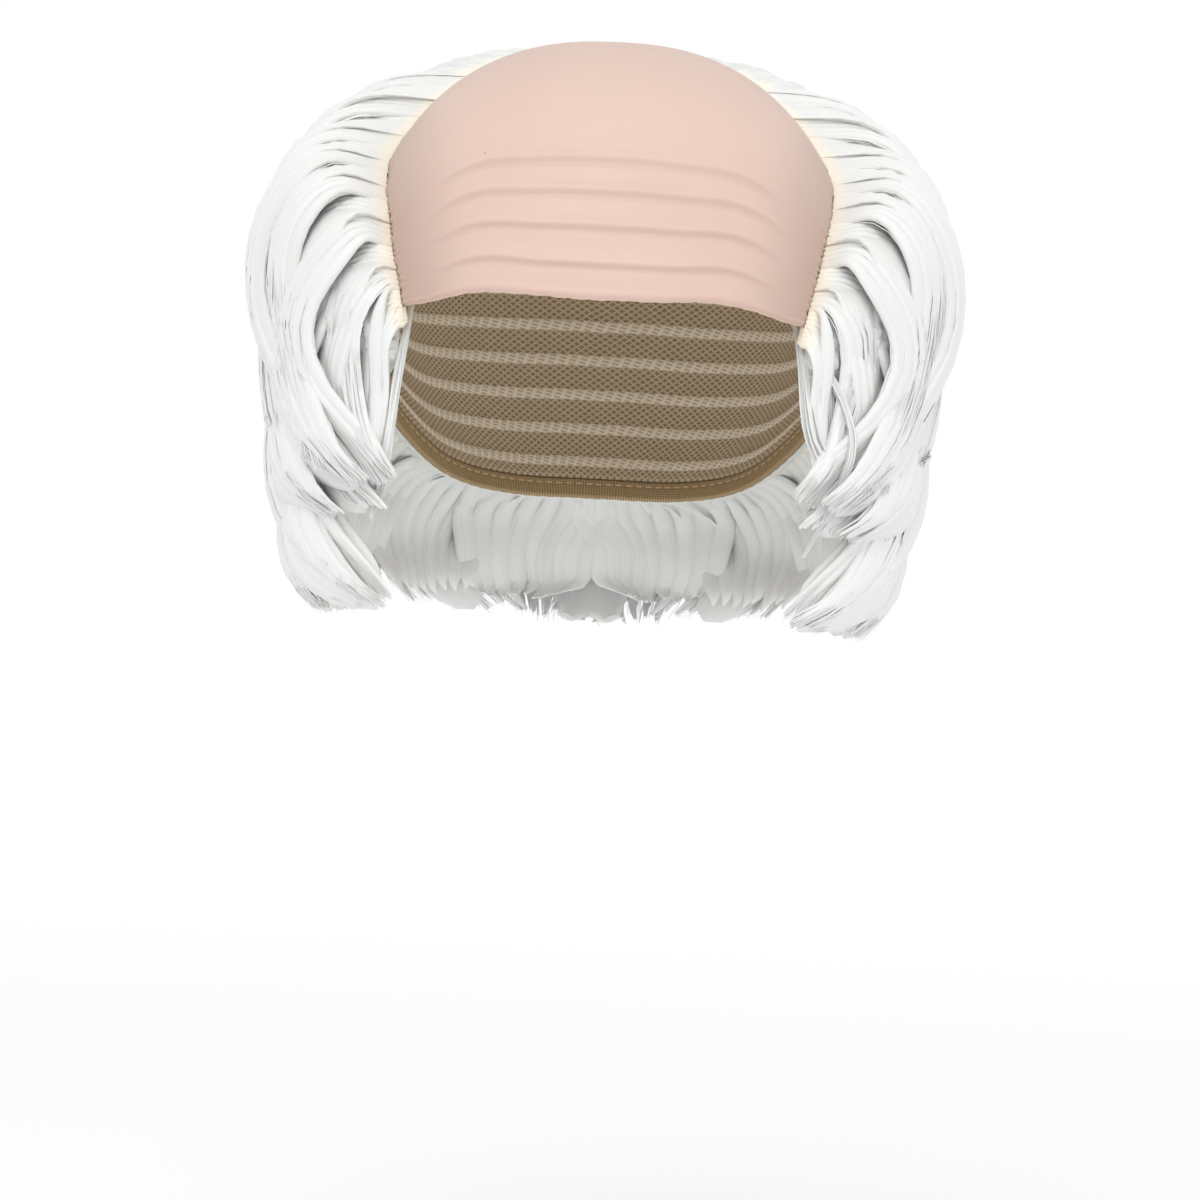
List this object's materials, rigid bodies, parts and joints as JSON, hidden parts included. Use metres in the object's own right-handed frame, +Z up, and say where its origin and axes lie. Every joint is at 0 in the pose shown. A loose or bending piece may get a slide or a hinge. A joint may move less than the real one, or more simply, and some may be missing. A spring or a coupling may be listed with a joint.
{
  "type": "wavy wig",
  "caption": "Costume wig with a bald moulded crown and creased forehead, a sewn net cap, and wavy hair that hangs round the sides and back.",
  "frame": {"origin": "crown seat: the highest point of the hollow, where the wig rests on the top of the head", "axes": "+Z up, -Y the way the wearer's face looks, +X to the viewer's right when seen from the front"},
  "size_m": [0.235, 0.2344, 0.1897],
  "materials": {
    "latex": "satin",
    "seam_tape": "matte",
    "net": "matte",
    "hem_tape": "matte",
    "hair": "satin"
  },
  "bodies": {
    "root": {"bald_pate": "latex", "seam_band": "seam_tape", "cap_net": "net", "cap_hem": "hem_tape", "hair_right": "hair", "hair_left": "hair", "hair_back": "hair"}
  },
  "joints": []
}
